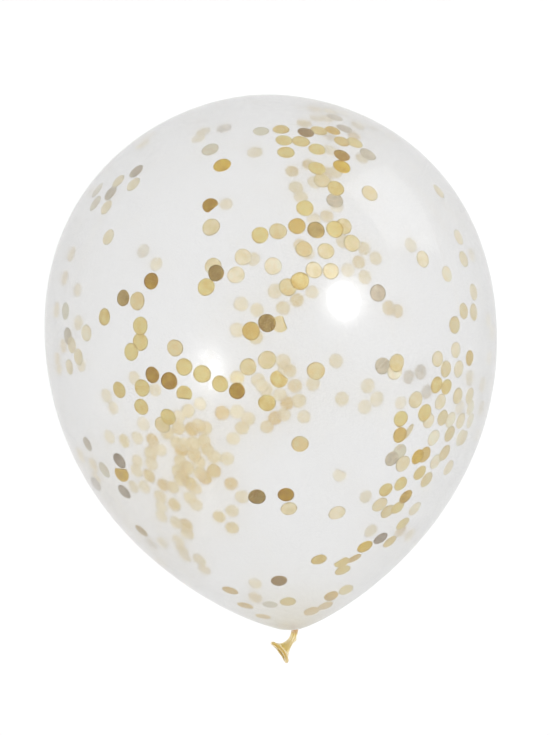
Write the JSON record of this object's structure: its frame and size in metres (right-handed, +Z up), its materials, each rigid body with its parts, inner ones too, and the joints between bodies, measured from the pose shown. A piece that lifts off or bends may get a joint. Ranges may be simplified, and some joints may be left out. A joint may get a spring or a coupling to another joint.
{
  "type": "confetti balloon",
  "caption": "Inflated see-through latex balloon, knotted at the neck with a short flared tail and loose foil confetti sealed inside; lies on its side as a party decoration.",
  "frame": {"origin": "middle of the small flat spot that the balloon rests on, on the plane of the floor", "axes": "+Z up; the bulb's axis lies in the YZ plane with the crown towards +Y and the knot towards -Y, dipping to the knot; +X across the bulb"},
  "size_m": [0.3, 0.3829, 0.3],
  "materials": {
    "clear_latex": "see-through latex film, faintly milky, glossy",
    "gathered_latex": "unstretched natural latex of the knot and tail, amber, translucent",
    "foil_gold": "bright gold foil",
    "foil_champagne": "pale champagne gold foil",
    "foil_ochre": "deep gold foil turned away from the light",
    "foil_bronze": "brown bronze foil",
    "foil_silver": "silver grey foil back"
  },
  "bodies": {
    "root": {"balloon": "clear_latex"}
  },
  "joints": []
}
